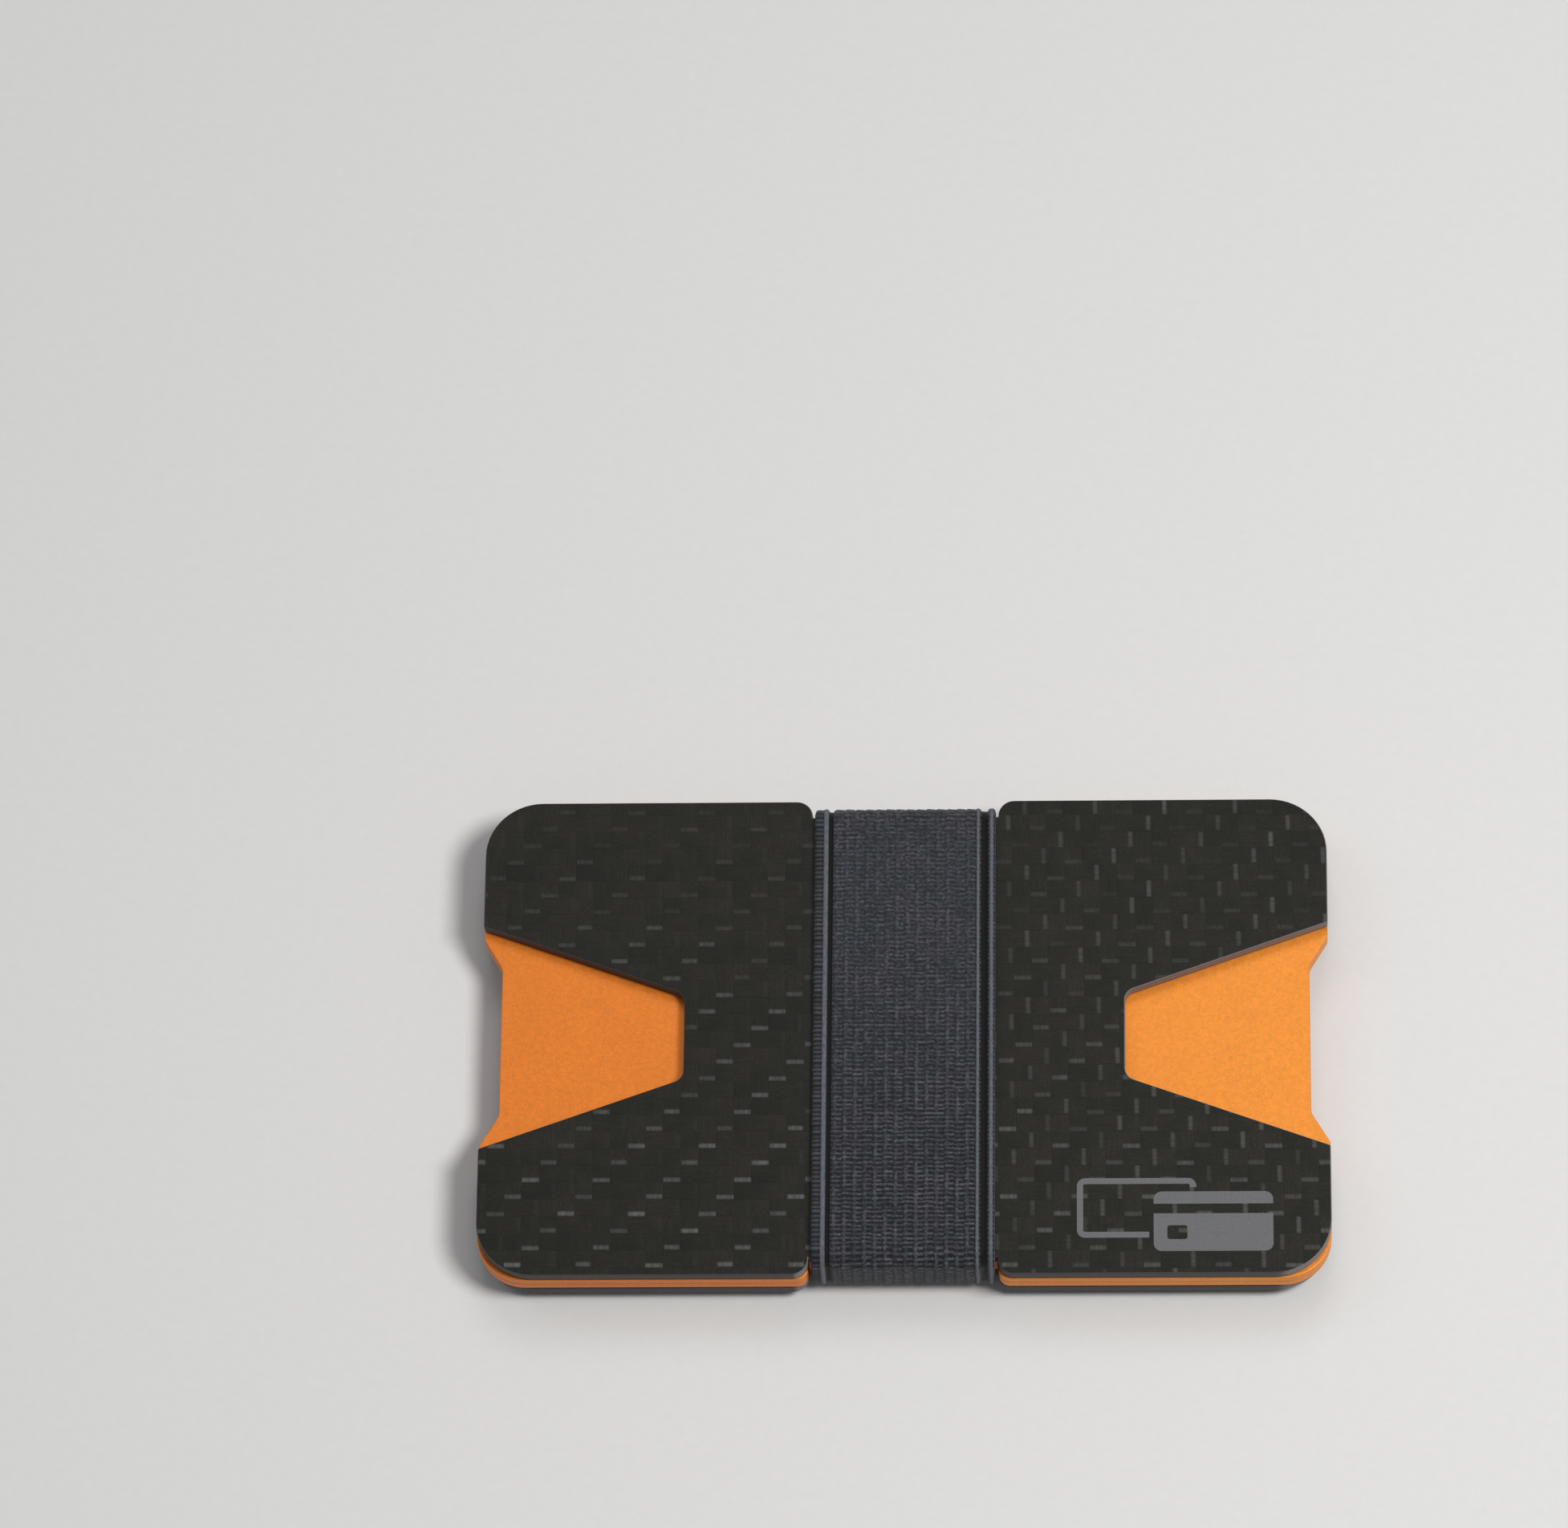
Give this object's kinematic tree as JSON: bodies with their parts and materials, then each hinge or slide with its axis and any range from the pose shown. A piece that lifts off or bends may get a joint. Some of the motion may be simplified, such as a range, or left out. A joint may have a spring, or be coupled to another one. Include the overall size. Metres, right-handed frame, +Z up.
{
  "type": "minimalist wallet",
  "caption": "Slim card wallet: carbon-fibre face plates bonded on orange aluminium liners, held together by a wide elastic band, with trapezoid thumb cut-outs.",
  "frame": {"origin": "middle of the lowest face, where the closed wallet rests on the lap of its band", "axes": "+X along the long side, +Y across it, +Z up out of the front face"},
  "size_m": [0.095, 0.057, 0.0087],
  "materials": {
    "carbon_fibre": "matte 2x2 twill carbon-fibre laminate",
    "adhesive": "dark acrylic adhesive film",
    "orange_aluminium": "fine bead-blasted and anodised orange",
    "elastic": "ribbed woven elastic webbing",
    "thread": "black polyester sewing thread"
  },
  "bodies": {
    "back_half": {"back_face_plate": "carbon_fibre", "back_bond_film": "adhesive", "back_liner_plate": "orange_aluminium", "band_back_span": "elastic", "band_lap": "elastic", "lap_thread": "thread", "band_far_side": "elastic", "band_near_side": "elastic"},
    "front_half": {"front_face_plate": "carbon_fibre", "front_bond_film": "adhesive", "front_liner_plate": "orange_aluminium", "band_front_span": "elastic"}
  },
  "joints": [
    {"name": "card_gap", "type": "slide", "parent": "back_half", "child": "front_half", "axis": [0, 0, 1], "range_m": [0, 0.0092], "stiffness_N_per_m": 600, "springref_m": -0.01, "deforming": ["band_far_side", "band_near_side"]}
  ]
}
